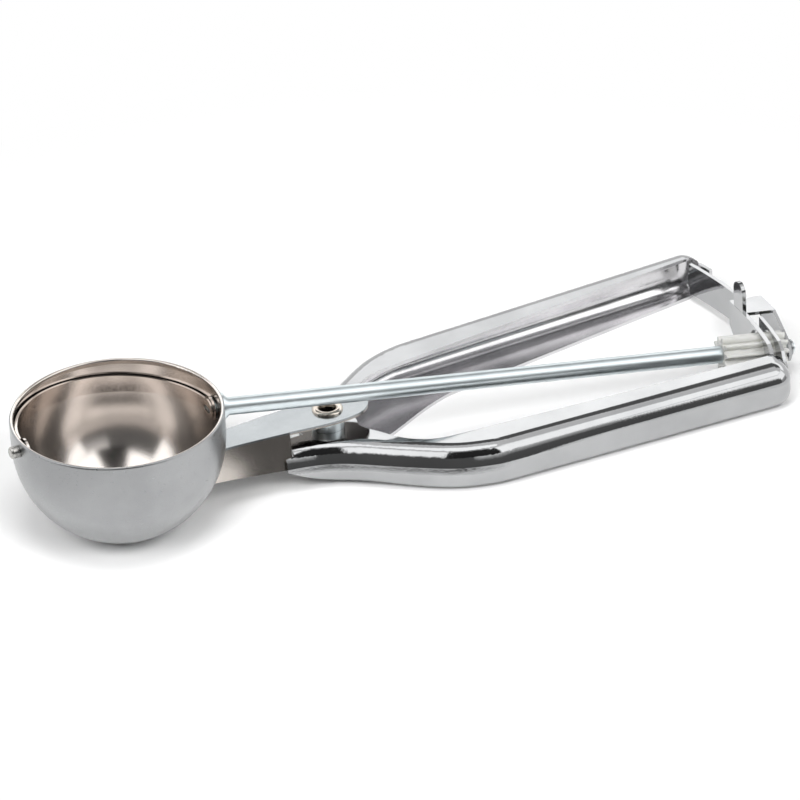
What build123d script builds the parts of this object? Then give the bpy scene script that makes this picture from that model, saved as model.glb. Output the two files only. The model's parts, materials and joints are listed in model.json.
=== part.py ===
from build123d import *
import os
from math import asin, atan, cos, degrees, radians, sin, sqrt, tan

os.makedirs("parts", exist_ok=True)

# Layout. The table is z = 0, +X runs from the bowl to the handle ends, +Y is the moving handle's side.
bowl_x = -83.62
pivot_x = bowl_x + 62.5
sheet = 1.0

# Bowl
bowl_radius = 29.3
bowl_wall = 0.8
bowl_z = bowl_radius
collar_height = 7.5
rim_bead = 0.55

# Scraper axis, from the front pin in the collar down to the rear crossing point with the rod axis
pin_point = Vector(bowl_x - bowl_radius, 0, bowl_z + 4.1)
cross_point = Vector(bowl_x + 27.7, 0, bowl_z + 0.4)
band_radius = 28.05
band_thickness = 0.7
band_width = 5.0
band_rest_angle = 2.7
eye_radius = 3.3

# Drive rod, from the crossing point to the middle of the pinion's front face
rod_radius = 2.5
rod_rear_point = Vector(bowl_x + 176.9, -16.3, 10.3)
journal_radius = 1.9
tail_radius = 1.5
running_fit = 0.05

# Pivot stack, heights above the table
pivot_bore = 3.05
lobe_radius = 8.2
plate_top = 18.7
fixed_top = 13.5
moving_top = 12.1
fixed_low = 1.3
moving_low = 2.7

# Handles, in plan about the pivot: x along the tool, w outwards
handle_top = 13.5
hub_low = 0.75
bend_radius = 5.2
near_reach = 131.5
far_reach = 138.0

# Rack and pinion
rack_radius = 133.45
rack_half = 0.55
gear_module = 0.87
gear_teeth = 10
pressure_angle = 25.0
gear_tip = 5.1
gear_root = 3.3
backlash = 0.26
gear_length = 19.0


def unit(vector):
    return vector.normalized()


scraper_dir = unit(cross_point - pin_point)
rod_dir = unit(rod_rear_point - cross_point)
scraper_mid = pin_point + scraper_dir * (bowl_radius / scraper_dir.X)


def rod_at(x):
    # Point of the rod axis at a given x
    return cross_point + rod_dir * ((x - cross_point.X) / rod_dir.X)


def save(builder, name):
    builder.part.label = name
    export_step(builder.part, "parts/" + name + ".step")


# Bowl: hemisphere with a short collar, a rolled bead inside the rim, and two shaft holes.
with BuildPart() as bowl:
    with BuildSketch(Plane.XZ.shift_origin((bowl_x, 0, bowl_z))) as bowl_section:
        with BuildLine():
            inner = bowl_radius - bowl_wall
            CenterArc((0, 0), bowl_radius, -90, 90)
            Line((bowl_radius, 0), (bowl_radius, collar_height - rim_bead))
            ThreePointArc(
                (bowl_radius, collar_height - rim_bead),
                (bowl_radius - rim_bead, collar_height),
                (bowl_radius - 2 * rim_bead, collar_height - rim_bead),
            )
            Line(
                (bowl_radius - 2 * rim_bead, collar_height - rim_bead),
                (inner, collar_height - 3 * rim_bead),
            )
            Line((inner, collar_height - 3 * rim_bead), (inner, 0))
            CenterArc((0, 0), inner, -90, 90)
            Line((0, -inner), (0, -bowl_radius))
        make_face()
    revolve(axis=Axis((bowl_x, 0, 0), (0, 0, 1)))
    with BuildSketch(Plane(origin=pin_point, z_dir=scraper_dir)):
        Circle(1.5)
    extrude(amount=2, both=True, mode=Mode.SUBTRACT)
    with BuildSketch(Plane(origin=cross_point, z_dir=rod_dir)):
        Circle(3.1)
    extrude(amount=8, mode=Mode.SUBTRACT)
save(bowl, "bowl")

# Front pivot pin: domed outer head, shank through collar and band, small closing head inside.
head_gap = 0.15
with BuildPart() as front_pivot_pin:
    with BuildSketch(Plane(origin=pin_point - scraper_dir * head_gap, z_dir=scraper_dir)):
        Circle(1.7)
    extrude(amount=-2.4)
    fillet(front_pivot_pin.edges().group_by(Axis.X)[0], radius=0.7)
    with BuildSketch(Plane(origin=pin_point - scraper_dir * head_gap, z_dir=scraper_dir)):
        Circle(1.2)
    extrude(amount=2.7)
    with BuildSketch(Plane(origin=pin_point + scraper_dir * 2.15, z_dir=scraper_dir)):
        Circle(1.9)
    extrude(amount=0.6)
save(front_pivot_pin, "front_pivot_pin")

# Thin washer between the collar's inside and the band.
with BuildPart() as front_pivot_washer:
    with BuildSketch(Plane(origin=pin_point + scraper_dir * 1.03, z_dir=scraper_dir)):
        Circle(2.1)
        Circle(1.25, mode=Mode.SUBTRACT)
    extrude(amount=0.2)
save(front_pivot_washer, "front_pivot_washer")

# Scraper band: a narrow strip of a spherical shell, with a round eye at each end of its axis.
band_out = Vector(0, cos(radians(band_rest_angle)), -sin(radians(band_rest_angle)))
with BuildPart() as band_strip:
    with BuildSketch(Plane(origin=scraper_mid, x_dir=scraper_dir, z_dir=band_out)):
        with BuildLine():
            Spline(
                (-band_radius - 1, 1.7),
                (-band_radius * 0.6, 2.3),
                (0, band_width / 2),
                (band_radius * 0.6, 2.3),
                (band_radius + 1, 1.7),
            )
            Line((band_radius + 1, 1.7), (band_radius + 1, -1.7))
            Spline(
                (band_radius + 1, -1.7),
                (band_radius * 0.6, -2.3),
                (0, -band_width / 2),
                (-band_radius * 0.6, -2.3),
                (-band_radius - 1, -1.7),
            )
            Line((-band_radius - 1, -1.7), (-band_radius - 1, 1.7))
        make_face()
    extrude(amount=band_radius + 1)
    with BuildSketch(Plane(origin=scraper_mid, z_dir=scraper_dir)):
        Circle(eye_radius)
    extrude(amount=band_radius + 1, both=True)

tang_width = 3.0
tang_thickness = 1.0
with BuildPart() as scraper_band:
    with Locations(scraper_mid):
        Sphere(band_radius)
        Sphere(band_radius - band_thickness, mode=Mode.SUBTRACT)
    add(band_strip.part, mode=Mode.INTERSECT)
    with BuildSketch(Plane(origin=pin_point, z_dir=scraper_dir)):
        Circle(1.25)
    extrude(amount=4, mode=Mode.SUBTRACT)
    with BuildSketch(Plane(origin=cross_point, x_dir=(0, 1, 0), z_dir=scraper_dir)):
        SlotOverall(tang_width + 0.6, tang_thickness + 0.4)
    extrude(amount=2, both=True, mode=Mode.SUBTRACT)
save(scraper_band, "scraper_band")

# Stiffening plate behind the rear eye, with the same slot for the rod's flat tang.
with BuildPart() as scraper_drive_plate:
    with BuildSketch(Plane(origin=cross_point - scraper_dir * 1.2, x_dir=(0, 1, 0), z_dir=scraper_dir)):
        Circle(2.9)
        SlotOverall(tang_width + 0.7, tang_thickness + 0.6, mode=Mode.SUBTRACT)
    extrude(amount=0.5)
save(scraper_drive_plate, "scraper_drive_plate")

# Drive rod: flat tang, journal in the bowl bush, long shaft, and a slim tail in the rear journal.
rod_shoulder = 4.4
rod_core_start = (rod_rear_point - cross_point).length
rod_core_radius = 1.8
rod_end = (rod_at(pivot_x + 136.4) - cross_point).length
with BuildPart() as drive_rod:
    with BuildSketch(Plane(origin=cross_point - rod_dir * 1.1, x_dir=(0, 1, 0), z_dir=rod_dir)):
        Rectangle(tang_width, tang_thickness)
    extrude(amount=2.3)
    with BuildSketch(Plane(origin=cross_point + rod_dir * 1.0, z_dir=rod_dir)):
        Circle(journal_radius)
    extrude(amount=rod_shoulder)
    with BuildSketch(Plane(origin=cross_point + rod_dir * rod_shoulder, z_dir=rod_dir)):
        Circle(rod_radius)
    extrude(amount=rod_core_start - rod_shoulder)
    with BuildSketch(Plane(origin=rod_rear_point, z_dir=rod_dir)):
        Circle(rod_core_radius)
    extrude(amount=gear_length)
    with BuildSketch(Plane(origin=rod_rear_point, z_dir=rod_dir)):
        Circle(tail_radius)
    extrude(amount=rod_end - rod_core_start)
save(drive_rod, "drive_rod")

# Flanged bush that carries the rod's journal in the bowl wall.
with BuildPart() as rear_rod_bush:
    with BuildSketch(Plane(origin=cross_point + rod_dir * 1.1, z_dir=rod_dir)):
        Circle(3.05)
    extrude(amount=3.2)
    with BuildSketch(Plane(origin=cross_point + rod_dir * 2.35, z_dir=rod_dir)):
        Circle(4.0)
    extrude(amount=1.0)
    with BuildSketch(Plane(origin=cross_point, z_dir=rod_dir)):
        Circle(journal_radius + running_fit)
    extrude(amount=10, mode=Mode.SUBTRACT)
save(rear_rod_bush, "rear_rod_bush")


# Neck: inverted U of sheet brazed to the bowl, with a flat tongue running over the pivot.
def neck_block(inset, sheet_under, extend):
    # Solid between the neck's two end sections, inset by the sheet on top and at the sides
    sections = ((18.0, 5.2, 8.4, 11.2), (29.0, 4.6, 7.4, 10.0), (36.0, 4.9, 7.0, 8.9), (48.2, 5.9, 7.1, 7.4))
    with BuildPart() as block:
        for x, half_top, half_low, low in sections:
            with BuildSketch(Plane(origin=(bowl_x + x + extend * (x - 30), 0, 0), x_dir=(0, 1, 0), z_dir=(1, 0, 0))):
                with BuildLine():
                    Polyline(
                        (-half_top + inset, plate_top - inset),
                        (half_top - inset, plate_top - inset),
                        (half_low - inset, low - sheet_under),
                        (-half_low + inset, low - sheet_under),
                        close=True,
                    )
                make_face()
        loft()
    return block.part


neck_outer = neck_block(0, 0, 0)
neck_inner = neck_block(sheet, 2, 0.1)
with BuildPart() as neck_bracket:
    add(neck_outer)
    add(neck_inner, mode=Mode.SUBTRACT)
    with BuildSketch(Plane.XY.offset(plate_top - sheet)):
        with BuildLine():
            Polyline((bowl_x + 46, -5.7), (bowl_x + 46, 5.7))
            Spline((bowl_x + 46, 5.7), (bowl_x + 54, 6.4), (bowl_x + 62.5, 7.0), (bowl_x + 68.5, 6.3))
            Spline((bowl_x + 68.5, 6.3), (bowl_x + 73, 3.6), (bowl_x + 74.6, 0), (bowl_x + 73, -3.6), (bowl_x + 68.5, -6.3))
            Spline((bowl_x + 68.5, -6.3), (bowl_x + 62.5, -7.0), (bowl_x + 54, -6.4), (bowl_x + 46, -5.7))
        make_face()
    extrude(amount=sheet)
    with BuildSketch(Plane.XY.offset(plate_top - 3)):
        with Locations((pivot_x, 0)):
            Circle(pivot_bore)
    extrude(amount=5, mode=Mode.SUBTRACT)
    with BuildSketch(Plane.XZ.shift_origin((bowl_x, 0, bowl_z))):
        with BuildLine():
            CenterArc((0, 0), bowl_radius, -90, 180)
            Line((0, bowl_radius), (0, -bowl_radius))
        make_face()
    revolve(axis=Axis((bowl_x, 0, 0), (0, 0, 1)), mode=Mode.SUBTRACT)
save(neck_bracket, "neck_bracket")


def disc(z0, z1, radius, bore):
    # Flat ring about the pivot
    with BuildPart() as ring:
        with BuildSketch(Plane(origin=(pivot_x, 0, z0))):
            Circle(radius)
            Circle(bore, mode=Mode.SUBTRACT)
        extrude(amount=z1 - z0)
    return ring


# Pivot hardware: tubular rivet with a rolled head, closing washer, spacer, top washer and wear washers.
with BuildPart() as pivot_rivet:
    with BuildSketch(Plane.XZ.shift_origin((pivot_x, 0, 0))):
        with BuildLine():
            Polyline(
                (2.1, 0.35), (pivot_bore - running_fit, 0.35), (pivot_bore - running_fit, plate_top),
                (4.3, plate_top), (4.3, plate_top + 0.35),
            )
            ThreePointArc((4.3, plate_top + 0.35), (3.4, plate_top + 1.0), (2.5, plate_top + 0.6))
            Line((2.5, plate_top + 0.6), (2.1, plate_top - 0.4))
            Line((2.1, plate_top - 0.4), (2.1, 0.35))
        make_face()
    revolve(axis=Axis((pivot_x, 0, 0), (0, 0, 1)))
save(pivot_rivet, "pivot_rivet")
closing_washer = disc(0.4, fixed_low - 0.05, 5.0, pivot_bore - running_fit)
save(closing_washer, "pivot_closing_washer")
spacer = disc(moving_low + sheet + 0.05, moving_top - sheet - 0.05, 4.0, pivot_bore)
save(spacer, "pivot_spacer_sleeve")
top_washer = disc(fixed_top + 0.05, plate_top - sheet - 0.05, 4.5, pivot_bore)
save(top_washer, "pivot_top_washer")
with BuildPart() as pivot_wear_washers:
    for low in (moving_top + 0.05, fixed_low + sheet + 0.05):
        with BuildSketch(Plane(origin=(pivot_x, 0, low))):
            Circle(6.0)
            Circle(pivot_bore, mode=Mode.SUBTRACT)
        extrude(amount=0.3)
save(pivot_wear_washers, "pivot_wear_washers")


# Handles
near_web = (
    (-16.5, 8.2), (-10.5, 9.3), (-2.5, 12.3), (6.5, 18.6), (17.5, 26.6), (26.5, 31.8), (34.5, 34.2), (43, 34.9)
)
near_web_end = (126.3, 37.5)
far_web = [(x, w * 0.965) for x, w in near_web]
far_web_end = (132.7, 37.9)
near_shape = (near_web, near_web_end, near_reach, 28.8)
far_shape = (far_web, far_web_end, far_reach, 31.5)


def web_curve(points, finish, inset):
    # Curved front part of the web's outline on the +w side, moved inwards by the sheet thickness
    leave = unit(Vector(*finish) - Vector(*points[-1]))
    directions = [Vector(1, 0.12), leave]
    outer = Edge.make_spline([Vector(*p) for p in points], tangents=directions)
    if inset == 0:
        return outer
    moved = []
    for share in range(0, 21):
        tangent = outer.tangent_at(share / 20)
        moved.append(outer.position_at(share / 20) + Vector(tangent.Y, -tangent.X) * inset)
    return Edge.make_spline(moved, tangents=directions)


def channel_plan(side, inset, grow):
    # Channel in plan about the pivot; grow moves the open side inwards
    points, finish, reach, lip = far_shape if side > 0 else near_shape
    curve = web_curve(points, finish, inset)
    start, stop = curve.position_at(0), curve.position_at(1)
    radius = reach - inset
    end_w = finish[1] - inset
    end_x = sqrt(radius**2 - end_w**2)
    inner_w = lip - grow
    inner_x = sqrt(radius**2 - inner_w**2)
    mid_w = (end_w + inner_w) / 2
    with BuildSketch() as plan:
        with BuildLine():
            add(curve)
            Line(stop, (end_x, end_w))
            ThreePointArc((end_x, end_w), (sqrt(radius**2 - mid_w**2), mid_w), (inner_x, inner_w))
            Line((inner_x, inner_w), (46, 17.5 - grow))
            Spline(
                (46, 17.5 - grow), (34, 12.5 - grow), (14.5, 3 - grow), (0, 1 - grow), (start.X, 1 - grow),
            )
            Line((start.X, 1 - grow), start)
        make_face()
    outline = plan.sketch if side > 0 else plan.sketch.mirror(Plane.XZ)
    return outline.moved(Location((pivot_x, 0, 0)))


def side_profile(inset, hub_top):
    # Height profile of the channel, extruded across it
    with BuildPart() as block:
        with BuildSketch(Plane(origin=(pivot_x, 0, 0), x_dir=(1, 0, 0), z_dir=(0, -1, 0))):
            with BuildLine():
                Line((-18, hub_top - inset), (7, hub_top - inset))
                Spline(
                    (7, hub_top - inset), (15, hub_top * 0.55 + handle_top * 0.45 - inset), (32, handle_top - inset),
                    tangents=((1, 0), (1, 0)),
                )
                Line((32, handle_top - inset), (140, handle_top - inset))
                Line((140, handle_top - inset), (140, inset))
                Line((140, inset), (24, inset))
                Spline((24, inset), (17.5, 0.1 + inset), (6.5, hub_low + inset), tangents=((-1, 0), (-1, 0)))
                Line((6.5, hub_low + inset), (-18, hub_low + inset))
                Line((-18, hub_low + inset), (-18, hub_top - inset))
            make_face()
        extrude(amount=45, both=True)
    return block.part


def channel_solid(side, inset, hub_top):
    # Rounded solid outline of the channel; the inset one is its hollow
    lip = (far_shape if side > 0 else near_shape)[3]
    plan = channel_plan(side, inset, 6 if inset else 0)
    profile = side_profile(inset, hub_top)
    with BuildPart() as solid:
        add(plan)
        extrude(amount=20)
        add(profile, mode=Mode.INTERSECT)
        webs = solid.faces().filter_by(
            lambda f: side * f.normal_at().Y > 0.3 and abs(f.normal_at().Z) < 0.1 and side * f.center().Y > 12
        )
        ends = solid.faces().sort_by(Axis.X)[-1:]
        edges = (webs + ends).edges()
        outer = edges.filter_by(
            lambda e: e.center().X > pivot_x - 16 and side * e.center().Y > 9 and not (
                e.center().X > pivot_x + 125 and side * e.center().Y < lip + 0.7
            )
        )
        outer = outer.filter_by(lambda e: not (abs(e.tangent_at(0.5).Z) > 0.9 and e.center().X < pivot_x + 100))
        fillet(outer, radius=bend_radius - inset)
    return solid.part



pivot_plane = Plane(origin=(pivot_x, 0, 0))


def top_opening(side, shift, end_w):
    # Region inside the upper flange's inner edge
    with BuildPart() as gap:
        with BuildSketch(pivot_plane.offset(moving_top - 3)):
            with BuildLine():
                Spline(
                    (7.5, side * 4), (10.8, side * 10), (15, side * (16.2 - shift / 2)),
                    (21, side * (20.6 - shift)), (28.9, side * (22.2 - shift)),
                    tangents=((0.25, side * 1.0), (1, side * 0.08)),
                )
                Line((28.9, side * (22.2 - shift)), (140, side * end_w))
                Line((140, side * end_w), (140, side * -8))
                Line((140, side * -8), (7.5, side * -8))
                Line((7.5, side * -8), (7.5, side * 4))
            make_face()
        extrude(amount=12)
    return gap.part


def polar(radius, angle):
    return (radius * cos(radians(angle)), radius * sin(radians(angle)))


def ring_sector(r0, r1, a0, a1, z0, z1):
    # Curved plate about the pivot between two polar angles
    with BuildPart() as sector:
        with BuildSketch(pivot_plane.offset(z0)):
            with BuildLine():
                mid = (a0 + a1) / 2
                ThreePointArc(polar(r0, a0), polar(r0, mid), polar(r0, a1))
                Line(polar(r0, a1), polar(r1, a1))
                ThreePointArc(polar(r1, a1), polar(r1, mid), polar(r1, a0))
                Line(polar(r1, a0), polar(r0, a0))
            make_face()
        extrude(amount=z1 - z0)
    return sector.part


def flat_plate(z0, z1, points):
    with BuildPart() as plate:
        with BuildSketch(pivot_plane.offset(z0)):
            with BuildLine():
                Polyline(*points, close=True)
            make_face()
        extrude(amount=z1 - z0)
    return plate.part


def curved_wall(r0, r1, points):
    # Curved plate about the pivot with an outline given in (y, z)
    wall_ring = ring_sector(r0, r1, -20, 10, 0, 30)
    with BuildPart() as wall:
        with BuildSketch(Plane(origin=(pivot_x + 110, 0, 0), x_dir=(0, 1, 0), z_dir=(1, 0, 0))):
            with BuildLine():
                Polyline(*points, close=True)
            make_face()
        extrude(amount=40)
        add(wall_ring, mode=Mode.INTERSECT)
    return wall.part


def rod_point_at_radius(radius, shift):
    # Where a line parallel to the rod axis, moved by shift, is that far from the pivot axis
    start = cross_point + shift - Vector(pivot_x, 0, 0)
    a = rod_dir.X**2 + rod_dir.Y**2
    b = start.X * rod_dir.X + start.Y * rod_dir.Y
    c = start.X**2 + start.Y**2 - radius**2
    return cross_point + shift + rod_dir * ((-b + sqrt(b * b - a * c)) / a)


# Fixed handle: drawn channel wrapped over the neck's side, two pivot lobes and an end tab.
near_outer = channel_solid(-1, 0, fixed_top)
near_inner = channel_solid(-1, sheet, fixed_top)
near_gap = top_opening(-1, 0, 29.45)
with BuildPart() as front_trim:
    with BuildSketch(Plane(origin=(pivot_x, 0, 0), x_dir=(1, 0, 0), z_dir=(0, -1, 0))):
        with BuildLine():
            Spline((6.5, hub_low), (-5.5, 2.9), (-10.5, 4.6), (-18, 8.2), tangents=((-1, 0.1), (-1, 0.55)))
            Line((-18, 8.2), (-18, -1))
            Line((-18, -1), (6.5, -1))
            Line((6.5, -1), (6.5, hub_low))
        make_face()
    extrude(amount=45, both=True)
neck_slot = flat_plate(-1, 20, ((-20, 0), (-13.9, 0), (-13.9, -7.3), (-20, -7.3)))
low_slot = flat_plate(
    -1, 9, ((-20, 0), (-20, -5), (-10, -6), (-2.5, -8.5), (6, -14.5), (9.5, -16), (9.5, 0))
)
low_tongue = flat_plate(
    fixed_low, fixed_low + sheet, ((-6, -5.5), (0, 7), (7.5, 3.3), (14, -4), (16, -8), (13, -17), (8, -14), (2, -9))
)
end_tab = curved_wall(
    near_reach - sheet, near_reach,
    ((-10.6, 15), (-10.6, 9), (-14, 2.4), (-29, 1.4), (-32, 3.5), (-32, 10), (-29, 12.3), (-28.2, 13.6), (-25, 15)),
)
tail_plane = Plane(origin=rod_point_at_radius(120, Vector(0, 0, 0)), z_dir=rod_dir)
with BuildPart() as fixed_handle:
    add(near_outer)
    add(near_inner, mode=Mode.SUBTRACT)
    add(near_gap, mode=Mode.SUBTRACT)
    add(front_trim.part, mode=Mode.SUBTRACT)
    add(neck_slot, mode=Mode.SUBTRACT)
    add(low_slot, mode=Mode.SUBTRACT)
    add(low_tongue)
    for z in (fixed_top - sheet, fixed_low):
        with BuildSketch(pivot_plane.offset(z)):
            Circle(lobe_radius)
        extrude(amount=sheet)
    add(end_tab)
    with BuildSketch(pivot_plane):
        Circle(pivot_bore)
    extrude(amount=20, mode=Mode.SUBTRACT)
    with BuildSketch(tail_plane):
        Circle(gear_tip + 0.5)
    extrude(amount=14, mode=Mode.SUBTRACT)
save(fixed_handle, "fixed_handle")

# Moving handle: a slightly longer channel with its lobes nested between the fixed ones.
far_outer = channel_solid(1, 0, moving_top)
far_inner = channel_solid(1, sheet, moving_top)
far_gap = top_opening(1, 2.2, 32.55)
far_front = flat_plate(-1, 20, ((-20, -9), (2, -9), (2, 7), (5.5, 14), (3, 24), (-20, 24)))
far_slot = flat_plate(-1, 8, ((-20, 0), (-20, 14), (-3, 11), (6, 11.5), (11, 9), (13, 3), (13, 0)))
far_tab = ring_sector(far_reach - sheet, far_reach, 11.2, 13.4, 4.0, 10.4)
with BuildPart() as moving_handle:
    add(far_outer)
    add(far_inner, mode=Mode.SUBTRACT)
    add(far_gap, mode=Mode.SUBTRACT)
    add(far_slot, mode=Mode.SUBTRACT)
    add(far_front, mode=Mode.SUBTRACT)
    with BuildSketch(pivot_plane.offset(moving_top - sheet)):
        Circle(lobe_radius)
        with BuildLine():
            Polyline((-5, 6.5), (3, 15.2), (6, 15.2), (8, 2), close=True)
        make_face()
    extrude(amount=sheet)
    with BuildSketch(pivot_plane.offset(moving_low)):
        Circle(lobe_radius)
        with BuildLine():
            Polyline(
                (-5, 6.5), (2.5, 12.8), (5.2, 15.2), (7.5, 16.8), (13, 20.8), (15.5, 17.5), (13, 9), (8, 2), close=True
            )
        make_face()
    extrude(amount=sheet)
    add(far_tab)
    with BuildSketch(pivot_plane):
        Circle(pivot_bore + running_fit)
    extrude(amount=20, mode=Mode.SUBTRACT)
save(moving_handle, "moving_handle")

# Rack arm: curved plate welded inside the moving handle's end, with a toothed bar under the pinion.
down = unit(Vector(0, 0, -1) - rod_dir * (Vector(0, 0, -1).dot(rod_dir)))
pitch_radius = gear_module * gear_teeth / 2
mesh_point = rod_point_at_radius(rack_radius, down * pitch_radius)
mesh_angle = degrees(asin(mesh_point.Y / rack_radius))
pitch_z = mesh_point.Z - 0.1
tooth_step = degrees(gear_module * 3.141593 / rack_radius)
gap_half = gear_module * 3.141593 / 4 + backlash / 4
arm_low = 1.0
arm_plate = ring_sector(rack_radius - rack_half, rack_radius + rack_half, 0.9, 13.0, 2.6, 12.2)
arm_root = ring_sector(rack_radius - rack_half, rack_radius + rack_half, 12, 13.2, 4.6, 9.0)
arm_pad = ring_sector(rack_radius + 0.3, far_reach - sheet, 12.2, 13.2, 4.6, 9.0)
arm_tip = mesh_angle - tooth_step / 2 - 0.25
arm_bar = ring_sector(rack_radius - rack_half, rack_radius + rack_half, arm_tip, 3.0, arm_low, pitch_z + 0.75)
with BuildPart() as rack_arm:
    add(arm_plate)
    add(arm_bar)
    add(arm_root)
    add(arm_pad)
    for step in range(0, 7):
        angle = mesh_angle + step * tooth_step
        x, y = polar(rack_radius, angle)
        tangent = (-sin(radians(angle)), cos(radians(angle)), 0)
        outward = (cos(radians(angle)), sin(radians(angle)), 0)
        with BuildSketch(Plane(origin=(pivot_x + x, y, pitch_z), x_dir=tangent, z_dir=outward)):
            with BuildLine():
                slope = tan(radians(pressure_angle))
                Polyline(
                    (slope - gap_half, -1.0), (gap_half - slope, -1.0),
                    (gap_half + 1.2 * slope, 1.2), (-gap_half - 1.2 * slope, 1.2), close=True,
                )
            make_face()
        extrude(amount=2, both=True, mode=Mode.SUBTRACT)
save(rack_arm, "rack_arm")

# Pinion: ten-tooth nylon gear on the rod, one tooth pointing down into the rack at rest.
base_radius = pitch_radius * cos(radians(pressure_angle))
tooth_half = (gear_module * 3.141593 / 2 - backlash / 2) / (2 * pitch_radius)


def flank_angle(radius):
    # Half angle of an involute tooth at a radius
    roll = tan(radians(pressure_angle)) - radians(pressure_angle)
    here = sqrt(max(radius**2 / base_radius**2 - 1, 0))
    return degrees(tooth_half + roll - (here - atan(here)))


with BuildSketch() as tooth:
    with BuildLine():
        low, high = flank_angle(base_radius), flank_angle(gear_tip)
        middle = (base_radius + gear_tip) / 2
        foot = gear_root - 0.5
        Line(polar(foot, -low), polar(base_radius, -low))
        ThreePointArc(polar(base_radius, -low), polar(middle, -flank_angle(middle)), polar(gear_tip, -high))
        Line(polar(gear_tip, -high), polar(gear_tip, high))
        ThreePointArc(polar(gear_tip, high), polar(middle, flank_angle(middle)), polar(base_radius, low))
        Line(polar(base_radius, low), polar(foot, low))
        Line(polar(foot, low), polar(foot, -low))
    make_face()

with BuildPart() as drive_pinion:
    with BuildSketch(Plane(origin=rod_rear_point, x_dir=down, z_dir=rod_dir)):
        Circle(gear_root)
        with PolarLocations(0, gear_teeth):
            add(tooth.sketch)
        Circle(rod_core_radius, mode=Mode.SUBTRACT)
    extrude(amount=gear_length)
save(drive_pinion, "drive_pinion")

# Rack guide bracket: front wall with the pinion window, upright tab, top plate and rear journal wall.
guide_front = curved_wall(
    127.0, 128.2,
    ((1.2, 15.3), (1.2, 7.5), (-3, 2.6), (-24, 1.6), (-32, 1.6), (-34, 4), (-34, 9.5), (-32, 12.2),
     (-28.2, 12.3), (-27.8, 14.2), (-25.5, 15.3)),
)
guide_tab = curved_wall(127.0, 128.2, ((-1.5, 14), (-1.5, 26), (-7.0, 26), (-7.0, 14)))
guide_top = flat_plate(14.3, 15.3, (polar(127.0, 0.4), polar(136.2, -0.2), polar(136.2, -4.1), polar(127.0, -3.1)))
guide_rear = curved_wall(
    135.2, 136.2,
    ((-0.5, 15.3), (-0.5, 10.5), (-13.5, 4.4), (-20.5, 4.4), (-22, 6.8), (-21.2, 10), (-16, 12.2), (-9.6, 15.3)),
)
with BuildPart() as rack_guide_bracket:
    with BuildSketch(Plane(origin=(pivot_x + 120, -4.25, 21.2), x_dir=(0, 1, 0), z_dir=(1, 0, 0))):
        Circle(2.75)
        with Locations((0, -5)):
            Rectangle(5.5, 10)
    extrude(amount=12)
    add(guide_tab, mode=Mode.INTERSECT)
    add(guide_front)
    add(guide_top)
    add(guide_rear)
    with BuildSketch(tail_plane):
        Circle(gear_tip + 0.8)
    extrude(amount=12, both=True, mode=Mode.SUBTRACT)
    with BuildSketch(tail_plane):
        Circle(tail_radius + running_fit)
    extrude(amount=20, mode=Mode.SUBTRACT)
save(rack_guide_bracket, "rack_guide_bracket")

# Push-on clip behind the rear wall.
clip_origin = rod_point_at_radius(136.2, Vector(0, 0, 0)) + rod_dir * 0.35
with BuildPart() as rod_end_clip:
    with BuildSketch(Plane(origin=clip_origin, z_dir=rod_dir)):
        Circle(2.3)
        Circle(tail_radius, mode=Mode.SUBTRACT)
    extrude(amount=0.5)
save(rod_end_clip, "rod_end_clip")

# Return spring: torsion coil round the spacer with a leg towards each handle's web.
coil_radius = 5.3
wire_radius = 0.6
coil_pitch = 1.4
start_angle = 6.0
coil_turns = 3 - 2 * start_angle / 360
coil_low = 5.3
coil_plane = Plane(
    origin=(pivot_x, 0, coil_low), x_dir=(cos(radians(start_angle)), sin(radians(start_angle)), 0), z_dir=(0, 0, 1)
)
with BuildPart() as return_spring:
    with BuildLine(coil_plane) as coil_path:
        Helix(coil_pitch, coil_pitch * coil_turns, coil_radius)
    with BuildSketch(Plane(origin=coil_path.line @ 0, z_dir=coil_path.line % 0)):
        Circle(wire_radius)
    sweep(is_frenet=True)
    for end, sign, length in ((0, -1, 16.0), (1, 1, 12.5)):
        with BuildSketch(Plane(origin=coil_path.line @ end, z_dir=(coil_path.line % end) * sign)):
            Circle(wire_radius)
        extrude(amount=length)
save(return_spring, "return_spring")
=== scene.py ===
import bpy
import json
from math import radians, cos, sin
from mathutils import Matrix, Vector

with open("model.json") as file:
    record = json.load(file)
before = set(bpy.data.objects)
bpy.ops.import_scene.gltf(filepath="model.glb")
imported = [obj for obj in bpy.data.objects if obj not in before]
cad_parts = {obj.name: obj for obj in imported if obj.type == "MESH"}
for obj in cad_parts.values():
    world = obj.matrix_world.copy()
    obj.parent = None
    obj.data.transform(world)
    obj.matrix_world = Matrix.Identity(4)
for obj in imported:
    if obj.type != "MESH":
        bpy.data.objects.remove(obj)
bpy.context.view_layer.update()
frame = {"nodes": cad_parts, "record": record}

nodes = frame["nodes"]

# ---------------------------------------------------------------- places shared with the CAD, metres
BOWL = Vector((-0.08362, 0.0, 0.0293))  # centre of the bowl's sphere
BOWL_SKIN = 0.0289                      # radius inside the thickness of the bowl's sheet
PIVOT_X = BOWL.x + 0.0625               # rivet that hinges the handles
NECK_PLATE = 0.0181                     # height that parts the neck's side walls from its flat tongue
CHANNEL_FLOOR = 0.004                   # height above the lower flanges of the handles

# ---------------------------------------------------------------- finishes
# Colours are linear, grain is noise cycles per metre, relief is metres
WHITE = (1.0, 1.0, 1.0, 1.0)
EVEN = (1, 1, 1)
ALONG_ROD = (0.05, 1, 1)
NOISE_BAND = (0.3, 0.7)
TINT_STOPS = (0.35, 0.65)
TINT_DRIFT = 60.0
FACING = 0.2  # least share of an axis in the normal of a face that looks that way

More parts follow.
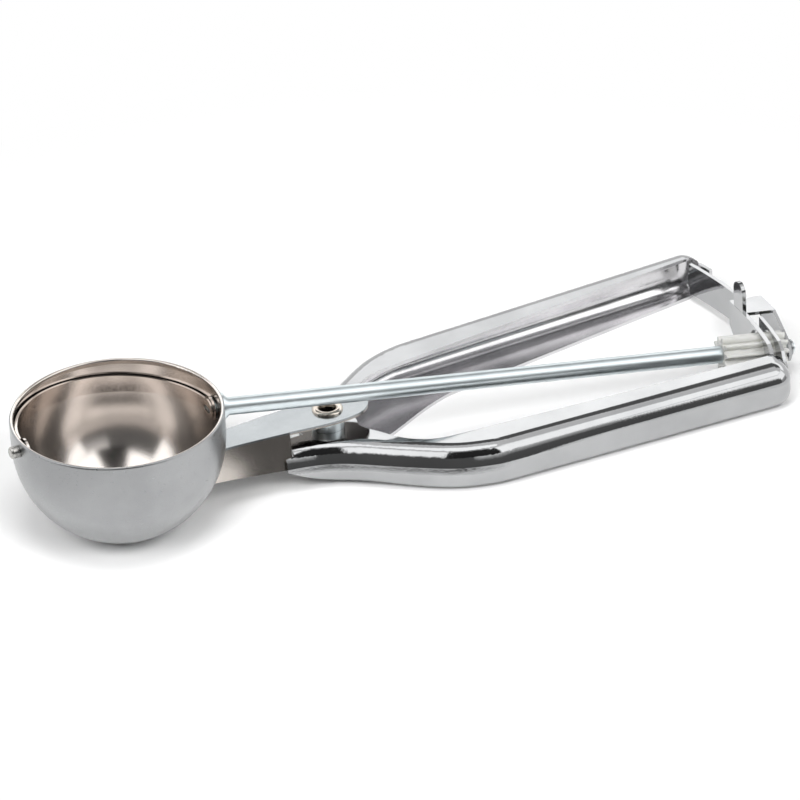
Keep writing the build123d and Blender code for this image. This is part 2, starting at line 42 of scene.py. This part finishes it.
CHROME = {"rough": (0.05, 0.09), "grain_scale": 1500.0, "relief_height": 0.000008}
CHROME_COLOURS = {"dark": (0.38, 0.385, 0.39), "light": (0.43, 0.435, 0.44)}
# Painted shade: the far handle's chrome is the same plating as the near one, darkened so that it reads
# greyer
FAR_CHROME_PAINTED_SHADE = {"dark": (0.31, 0.315, 0.32), "light": (0.36, 0.365, 0.37)}
# A crown leans a side wall inwards by a drop between two heights, and weakens to a share along x
NEAR_CROWN = {
    "heights": (0.003, 0.012), "drop": 0.0017,
    "along": (PIVOT_X + 0.025, PIVOT_X + 0.075), "share": 0.45,
}
NECK_CROWN = {
    "heights": (-0.002, 0.030), "drop": 0.0062,
    "along": (PIVOT_X + 0.1, PIVOT_X + 0.2), "share": 1.0,
}


# ---------------------------------------------------------------- shader helpers
def new_material(name):
    mat = bpy.data.materials.new(name)
    mat.use_nodes = True
    tree = mat.node_tree
    tree.nodes.clear()
    out = tree.nodes.new("ShaderNodeOutputMaterial")
    bsdf = tree.nodes.new("ShaderNodeBsdfPrincipled")
    tree.links.new(bsdf.outputs["BSDF"], out.inputs["Surface"])
    return mat, tree, bsdf


def feed(tree, value, socket):
    # An output is linked to the socket, anything else becomes its value
    if isinstance(value, bpy.types.NodeSocket):
        tree.links.new(value, socket)
    else:
        socket.default_value = value


def maths(tree, operation, first, second):
    made = tree.nodes.new("ShaderNodeMath")
    made.operation = operation
    feed(tree, first, made.inputs[0])
    feed(tree, second, made.inputs[1])
    return made.outputs["Value"]


def axis_values(tree, vector):
    made = tree.nodes.new("ShaderNodeSeparateXYZ")
    tree.links.new(vector, made.inputs["Vector"])
    return made.outputs


def object_coords(tree, scale=EVEN):
    coords = tree.nodes.new("ShaderNodeTexCoord")
    mapping = tree.nodes.new("ShaderNodeMapping")
    mapping.inputs["Scale"].default_value = scale
    tree.links.new(coords.outputs["Object"], mapping.inputs["Vector"])
    return mapping.outputs["Vector"]


def noise(tree, coords, scale, detail=4.0, rough=0.55):
    made = tree.nodes.new("ShaderNodeTexNoise")
    made.inputs["Scale"].default_value = scale
    made.inputs["Detail"].default_value = detail
    made.inputs["Roughness"].default_value = rough
    tree.links.new(coords, made.inputs["Vector"])
    return made.outputs["Fac"]


def ramp(tree, value, stops):
    made = tree.nodes.new("ShaderNodeValToRGB")
    elements = made.color_ramp.elements
    while len(elements) < len(stops):
        elements.new(0.5)
    for element, (place, colour) in zip(elements, stops):
        element.position = place
        element.color = (*colour, 1.0)
    tree.links.new(value, made.inputs["Fac"])
    return made.outputs["Color"]


def map_range(tree, value, source, target, interpolation="LINEAR"):
    made = tree.nodes.new("ShaderNodeMapRange")
    made.interpolation_type = interpolation
    made.inputs["From Min"].default_value, made.inputs["From Max"].default_value = source
    made.inputs["To Min"].default_value, made.inputs["To Max"].default_value = target
    tree.links.new(value, made.inputs["Value"])
    return made.outputs["Result"]


def mix_shaders(tree, share, first, second):
    made = tree.nodes.new("ShaderNodeMixShader")
    tree.links.new(share, made.inputs[0])
    tree.links.new(first, made.inputs[1])
    tree.links.new(second, made.inputs[2])
    return made.outputs[0]


def seen_mask(tree):
    # 1 for what the camera sees, by itself, mirrored or through glass
    path = tree.nodes.new("ShaderNodeLightPath")
    mirrored = maths(tree, "MAXIMUM", path.outputs["Is Camera Ray"], path.outputs["Is Glossy Ray"])
    return maths(tree, "MAXIMUM", mirrored, path.outputs["Is Transmission Ray"])


# ---------------------------------------------------------------- masks on the tool
def below(tree, height):
    return maths(tree, "LESS_THAN", axis_values(tree, object_coords(tree))["Z"], height)


def face_normals(tree):
    facing = tree.nodes.new("ShaderNodeNewGeometry")
    return axis_values(tree, facing.outputs["True Normal"])


def front_walls(tree):
    # 1 on walls that face the fixed handle's side of the table
    return maths(tree, "LESS_THAN", face_normals(tree)["Y"], -FACING)


# 1 on the neck's side walls, below its flat tongue: the zone that gets a painted warm reflection tint
def neck_walls(tree):
    return below(tree, NECK_PLATE)


def channel_inside(tree):
    # 1 on the inside of the moving handle: its web's front face and its lower flange's upper face
    upward = maths(tree, "GREATER_THAN", face_normals(tree)["Z"], FACING)
    lower_flange = maths(tree, "MULTIPLY", upward, below(tree, CHANNEL_FLOOR))
    return maths(tree, "MAXIMUM", lower_flange, front_walls(tree))


def bowl_inside(tree):
    # Distance from the bowl's centre below the rim, and from its axis in the collar
    shift = tree.nodes.new("ShaderNodeVectorMath")
    shift.operation = "SUBTRACT"
    shift.inputs[1].default_value = BOWL
    tree.links.new(object_coords(tree), shift.inputs[0])
    parts = axis_values(tree, shift.outputs["Vector"])
    joined = tree.nodes.new("ShaderNodeCombineXYZ")
    tree.links.new(parts["X"], joined.inputs["X"])
    tree.links.new(parts["Y"], joined.inputs["Y"])
    tree.links.new(maths(tree, "MINIMUM", parts["Z"], 0.0), joined.inputs["Z"])
    length = tree.nodes.new("ShaderNodeVectorMath")
    length.operation = "LENGTH"
    tree.links.new(joined.outputs["Vector"], length.inputs[0])
    return maths(tree, "LESS_THAN", length.outputs["Value"], BOWL_SKIN)


# ---------------------------------------------------------------- materials
def crown_relief(tree, coords, heights, drop, along, share):
    parts = axis_values(tree, coords)
    lean = map_range(tree, parts["Z"], heights, (0.0, -drop), "SMOOTHSTEP")
    strength = map_range(tree, parts["X"], along, (1.0, share), "SMOOTHSTEP")
    return maths(tree, "MULTIPLY", maths(tree, "MULTIPLY", lean, strength), front_walls(tree))


def painted_tint_and_roughness(tree, mask, tint, rough, tint_factor, rough_factor):
    # Painted light where the mask is 1: the tint multiplied by a brighter or warmer factor, and the
    # roughness scaled
    colours = tree.nodes.new("ShaderNodeMix")
    colours.data_type = "RGBA"
    colours.blend_type = "MULTIPLY"
    share, first_colour, second_colour = (colours.inputs[i] for i in (0, 6, 7))
    feed(tree, mask, share)
    feed(tree, tint, first_colour)
    feed(tree, (*tint_factor, 1.0), second_colour)
    roughs = tree.nodes.new("ShaderNodeMix")
    roughs.data_type = "FLOAT"
    share, first_rough, second_rough = (roughs.inputs[i] for i in (0, 2, 3))
    feed(tree, mask, share)
    feed(tree, rough, first_rough)
    feed(tree, maths(tree, "MULTIPLY", rough, rough_factor), second_rough)
    return colours.outputs[2], roughs.outputs[0]


def metal(name, dark, light, rough, grain_scale, grain=EVEN, relief_height=0.00001, crown=None, second=None):
    # Steel or plating: slow tint drift, fine grain in the roughness, and a faint orange-peel relief. A
    # second zone, where given, gets a painted brighter or warmer tint and its own roughness
    mat, tree, bsdf = new_material(name)
    bsdf.inputs["Metallic"].default_value = 1.0
    coords = object_coords(tree)
    drift = noise(tree, coords, TINT_DRIFT, 3.0)
    tint = ramp(tree, drift, tuple(zip(TINT_STOPS, (dark, light))))
    grains = noise(tree, object_coords(tree, grain), grain_scale, 3.0, 0.6)
    roughness = map_range(tree, grains, NOISE_BAND, rough)
    depth = maths(tree, "MULTIPLY", grains, relief_height)
    if crown:
        depth = maths(tree, "ADD", depth, crown_relief(tree, coords, **crown))
    # Painted light: the second zone's tint is multiplied up to stand in for brighter or warmer reflections
    if second:
        mask, tint_factor, rough_factor = second
        tint, roughness = painted_tint_and_roughness(tree, mask(tree), tint, roughness, tint_factor, rough_factor)
    relief = tree.nodes.new("ShaderNodeBump")
    relief.inputs["Strength"].default_value = 1.0
    relief.inputs["Distance"].default_value = 1.0
    tree.links.new(depth, relief.inputs["Height"])
    tree.links.new(tint, bsdf.inputs["Base Color"])
    tree.links.new(roughness, bsdf.inputs["Roughness"])
    tree.links.new(relief.outputs["Normal"], bsdf.inputs["Normal"])
    return mat


def nylon():
    # Milky uncoloured nylon
    mat, tree, bsdf = new_material("natural_nylon")
    cloud = noise(tree, object_coords(tree), 180.0, 3.0)
    tint = ramp(tree, cloud, tuple(zip(NOISE_BAND, ((0.50, 0.50, 0.48), (0.60, 0.60, 0.58)))))
    tree.links.new(tint, bsdf.inputs["Base Color"])
    tree.links.new(map_range(tree, cloud, NOISE_BAND, (0.35, 0.5)), bsdf.inputs["Roughness"])
    bsdf.inputs["Subsurface Weight"].default_value = 0.35
    bsdf.inputs["Subsurface Radius"].default_value = (0.004, 0.004, 0.0035)
    bsdf.inputs["Subsurface Scale"].default_value = 1.0
    relief = tree.nodes.new("ShaderNodeBump")
    relief.inputs["Strength"].default_value = 0.05
    relief.inputs["Distance"].default_value = 0.0002
    tree.links.new(cloud, relief.inputs["Height"])
    tree.links.new(relief.outputs["Normal"], bsdf.inputs["Normal"])
    return mat


chrome = metal("polished_chrome", **CHROME_COLOURS, **CHROME)
near_chrome = metal("polished_chrome_near", **CHROME_COLOURS, **CHROME, crown=NEAR_CROWN)
# Painted light and shade: darker chrome outside, and inside the channel a tint multiplied by about 1.9 as a
# painted bright reflection, with rougher plating there
far_chrome_painted_light_and_shade = metal("polished_chrome_far_painted_light_and_shade", **FAR_CHROME_PAINTED_SHADE, **CHROME,
                   second=(channel_inside, (1.90, 1.85, 1.86), 2.6))
# Painted light: the inside of the bowl has its tint multiplied by 1.58 to 1.85, a painted brighter, warmer
# reflection of the same steel, with lower roughness
bowl_steel = metal("satin_steel", (0.32, 0.325, 0.33), (0.36, 0.365, 0.37), (0.27, 0.31), 1800.0,
                   second=(bowl_inside, (1.85, 1.70, 1.58), 0.6))
# Painted light: the neck's side walls get a warm brown tint, a painted warm reflection; the crown is a
# shading relief
neck_steel = metal("neck_steel", (0.33, 0.35, 0.36), (0.37, 0.39, 0.40), (0.20, 0.26), 1800.0,
                   crown=NECK_CROWN, second=(neck_walls, (1.12, 0.98, 0.88), 0.95))
band_steel = metal("scraper_steel", (0.58, 0.52, 0.48), (0.66, 0.61, 0.57), (0.14, 0.20), 900.0)
pin_steel = metal("pin_steel", (0.40, 0.40, 0.38), (0.48, 0.47, 0.45), (0.22, 0.30), 900.0)
zinc = metal("bright_zinc", (0.62, 0.68, 0.70), (0.72, 0.78, 0.80), (0.28, 0.35), 900.0, ALONG_ROD)
nickel = metal("satin_nickel", (0.50, 0.45, 0.39), (0.62, 0.57, 0.51), (0.16, 0.24), 900.0)
spring_wire = metal("drawn_wire", (0.33, 0.34, 0.35), (0.45, 0.46, 0.47), (0.22, 0.35), 800.0)

by_slot = {
    "chrome": chrome, "satin_steel": bowl_steel, "zinc_steel": zinc,
    "nickel": nickel, "spring_steel": spring_wire, "nylon": nylon(),
}
own_material = {
    "fixed_handle": near_chrome, "moving_handle": far_chrome_painted_light_and_shade, "neck_bracket": neck_steel,
    "scraper_band": band_steel, "scraper_drive_plate": band_steel, "front_pivot_pin": pin_steel,
}
slot_of = {entry["node"]: entry["material_slot"] for entry in frame["record"]["subparts"]}
for name, obj in nodes.items():
    obj.data.materials.clear()
    obj.data.materials.append(own_material.get(name, by_slot[slot_of[name]]))

# ---------------------------------------------------------------- floor and world
FLOOR_SIZE = 8.0
FLOOR_GREYS = ((0.94, 0.94, 0.94), (0.96, 0.96, 0.96))
BACKDROP_AND_SHADOW_GLOW_FADE = (0.10, 0.22)  # distances over which the floor turns into glowing white backdrop; the glow starts near the bowl and the handle ends, so it also lightens their shadows there as painted light
WORLD_LIGHT = 0.33


def floor_material():
    mat, tree, bsdf = new_material("floor_white")
    coords = object_coords(tree)
    greys = tuple(zip((0.0, 1.0), FLOOR_GREYS))
    tree.links.new(ramp(tree, noise(tree, coords, 3.0), greys), bsdf.inputs["Base Color"])
    bsdf.inputs["Roughness"].default_value = 0.9
    bsdf.inputs["Specular IOR Level"].default_value = 0.0
    away = tree.nodes.new("ShaderNodeVectorMath")
    away.operation = "LENGTH"
    tree.links.new(coords, away.inputs[0])
    fade = map_range(tree, away.outputs["Value"], BACKDROP_AND_SHADOW_GLOW_FADE, (0.0, 1.0), "SMOOTHSTEP")
    # Painted light: white glow mixed into the floor for the camera and reflections, as backdrop far away and
    # as a lift of the tool's shadow near it
    floor_glow = tree.nodes.new("ShaderNodeEmission")
    floor_glow.inputs["Color"].default_value = WHITE
    floor_glow.inputs["Strength"].default_value = 1.0
    share = maths(tree, "MULTIPLY", fade, seen_mask(tree))
    surface = mix_shaders(tree, share, bsdf.outputs["BSDF"], floor_glow.outputs[0])
    tree.links.new(surface, tree.nodes["Material Output"].inputs["Surface"])
    return mat


def world_background(tree, strength):
    made = tree.nodes.new("ShaderNodeBackground")
    made.inputs["Color"].default_value = WHITE
    made.inputs["Strength"].default_value = strength
    return made.outputs[0]


bpy.ops.mesh.primitive_plane_add(size=FLOOR_SIZE, location=(0, 0, 0))
floor = bpy.context.object
floor.name = "floor"
floor.data.materials.append(floor_material())

world = bpy.data.worlds.new("studio")
bpy.context.scene.world = world
world.use_nodes = True
sky = world.node_tree
sky.nodes.clear()
sky_out = sky.nodes.new("ShaderNodeOutputWorld")
sky_light = world_background(sky, WORLD_LIGHT)
sky_white = world_background(sky, 1.0)
sky.links.new(mix_shaders(sky, seen_mask(sky), sky_light, sky_white), sky_out.inputs["Surface"])

# ---------------------------------------------------------------- camera
# Found from the rim ellipse, the bowl's outline and the handle ends; pixels in the 800 px frame
CAM_F_PX = 6496.4
CAM_ELEVATION = 30.997
CAM_ROLL = 2.782
CAM_TURN = 24.864
CAM_DISTANCE = 1.766729
CAM_CLIP = 20.0
SENSOR_MM = 36.0
BOWL_PX = (118.53, 435.836)
IMAGE_PX = 800.0

elevation, roll, turn = radians(CAM_ELEVATION), radians(CAM_ROLL), radians(CAM_TURN)
level_forward = Vector((0, cos(elevation), -sin(elevation)))
level_right = Vector((1, 0, 0))
level_down = level_forward.cross(level_right)
rolled_right = cos(roll) * level_right + sin(roll) * level_down
rolled_down = -sin(roll) * level_right + cos(roll) * level_down
to_object = Matrix.Rotation(-turn, 3, "Z")
right, down, forward = to_object @ rolled_right, to_object @ rolled_down, to_object @ level_forward
bowl_across, bowl_down = ((pixel - IMAGE_PX / 2) / CAM_F_PX for pixel in BOWL_PX)
ray = Vector((bowl_across, bowl_down, 1.0)).normalized()
place = BOWL - CAM_DISTANCE * (ray.x * right + ray.y * down + ray.z * forward)
camera_data = bpy.data.cameras.new("camera")
camera_data.sensor_width = SENSOR_MM
camera_data.lens = CAM_F_PX * SENSOR_MM / IMAGE_PX
camera_data.clip_end = CAM_CLIP
camera = bpy.data.objects.new("camera", camera_data)
bpy.context.collection.objects.link(camera)
axes = Matrix((right, -down, -forward)).transposed().to_4x4()
camera.matrix_world = Matrix.Translation(place) @ axes
bpy.context.scene.camera = camera

# ---------------------------------------------------------------- studio
# Directions are azimuth and elevation in degrees; SIDE is the azimuth that the camera looks from
SIDE = -90 - CAM_TURN
PATCH_STEPS = (24, 10)
CAP_STEPS = (48, 6)


def direction(azimuth, elev):
    azimuth, elev = radians(azimuth), radians(elev)
    return Vector((cos(elev) * cos(azimuth), cos(elev) * sin(azimuth), sin(elev)))


def between(low, high, share):
    return low + (high - low) * share


def board_material(name, low, high, stops):
    # Glow that follows the height from the board's lowest edge to its highest
    mat, tree, bsdf = new_material(name)
    tree.nodes.remove(bsdf)
    coords = tree.nodes.new("ShaderNodeTexCoord")
    height = map_range(tree, axis_values(tree, coords.outputs["Object"])["Z"], (low, high), (0.0, 1.0))
    glow = tree.nodes.new("ShaderNodeEmission")
    glow.inputs["Strength"].default_value = 1.0
    tree.links.new(ramp(tree, height, [(place, (grey,) * 3) for place, grey in stops]), glow.inputs["Color"])
    tree.links.new(glow.outputs[0], tree.nodes["Material Output"].inputs["Surface"])
    return mat


def board(name, azimuths, elevs, distance, stops, steps=PATCH_STEPS):
    # A studio flag or softbox seen only in reflections: a patch of a sphere round the tool
    across, up = steps
    corners = [
        distance * direction(between(*azimuths, i / across), between(*elevs, j / up))
        for j in range(up + 1) for i in range(across + 1)
    ]
    row = across + 1
    starts = [j * row + i for j in range(up) for i in range(across)]
    mesh = bpy.data.meshes.new(name)
    mesh.from_pydata(corners, [], [(k, k + 1, k + row + 1, k + row) for k in starts])
    patch = bpy.data.objects.new(name, mesh)
    bpy.context.collection.objects.link(patch)
    low, high = (distance * sin(radians(elev)) for elev in elevs)
    mesh.materials.append(board_material(name, low, high, stops))
    patch.visible_camera = False
    patch.visible_diffuse = False
    patch.visible_shadow = False
    patch.visible_transmission = False


def lamp(name, azimuth, elev, distance, size, watts):
    # Soft rectangular lamp aimed at the tool; the boards stand for it in reflections
    data = bpy.data.lights.new(name, "AREA")
    data.shape = "RECTANGLE"
    data.size, data.size_y = size
    data.energy = watts
    made = bpy.data.objects.new(name, data)
    towards = direction(azimuth, elev)
    made.location = towards * distance
    made.rotation_euler = towards.to_track_quat("Z", "Y").to_euler()
    bpy.context.collection.objects.link(made)
    made.visible_glossy = False


# Greys of each board from its lowest edge to its highest: share of the height, strength
dark_room = ((0.0, 0.12), (0.93, 0.14), (1.0, 0.8))
dark_to_white = ((0.0, 0.12), (0.68, 0.14), (0.92, 0.7), (1.0, 1.2))
dark_to_box = ((0.0, 0.12), (0.5, 0.14), (0.62, 1.9), (1.0, 1.9))
grey_to_box = ((0.0, 0.3), (0.35, 0.6), (0.45, 1.9), (1.0, 1.9))
black_flag = ((0.0, 0.03), (0.85, 0.04), (1.0, 0.7))
softbox = ((0.0, 1.0), (0.15, 2.0), (0.85, 2.0), (1.0, 1.4))
ceiling = ((0.0, 2.1), (1.0, 2.1))
rear_flag = ((0.0, 1.0), (0.12, 0.16), (0.85, 0.16), (1.0, 1.4))
rear_box = ((0.0, 1.0), (0.25, 2.0), (1.0, 2.0))

board("room_left", (SIDE - 55, SIDE + 15), (-1, 47), 2.4, dark_room)
board("room_right", (SIDE + 15, SIDE + 51), (-1, 42), 2.4, dark_to_white)
board("mid_right", (SIDE + 51, SIDE + 62), (-1, 42), 2.4, dark_to_box)
board("low_right", (SIDE + 62, SIDE + 100), (-1, 42), 2.4, grey_to_box)
board("low_left", (SIDE - 100, SIDE - 55), (-1, 47), 2.4, grey_to_box)
board("front_dark", (SIDE - 13, SIDE + 36), (42, 78), 2.35, black_flag)
board("left_box", (SIDE - 80, SIDE - 16), (47, 72), 2.3, softbox)
board("right_box", (SIDE + 38, SIDE + 84), (40, 72), 2.3, softbox)
board("top_box", (-180, 180), (78, 90), 2.3, ceiling, CAP_STEPS)
board("far_gap", (SIDE + 120, SIDE + 240), (38, 64), 2.4, rear_flag)
board("far_white", (SIDE + 110, SIDE + 250), (20, 38), 2.45, rear_box)

lamp("overhead", SIDE, 74, 1.4, (0.6, 0.5), 7.5)
lamp("front_left", SIDE - 30, 42, 1.5, (0.7, 0.5), 10.5)
lamp("front_right", SIDE + 30, 42, 1.5, (0.7, 0.5), 10.5)

bpy.context.scene.view_settings.view_transform = "Standard"
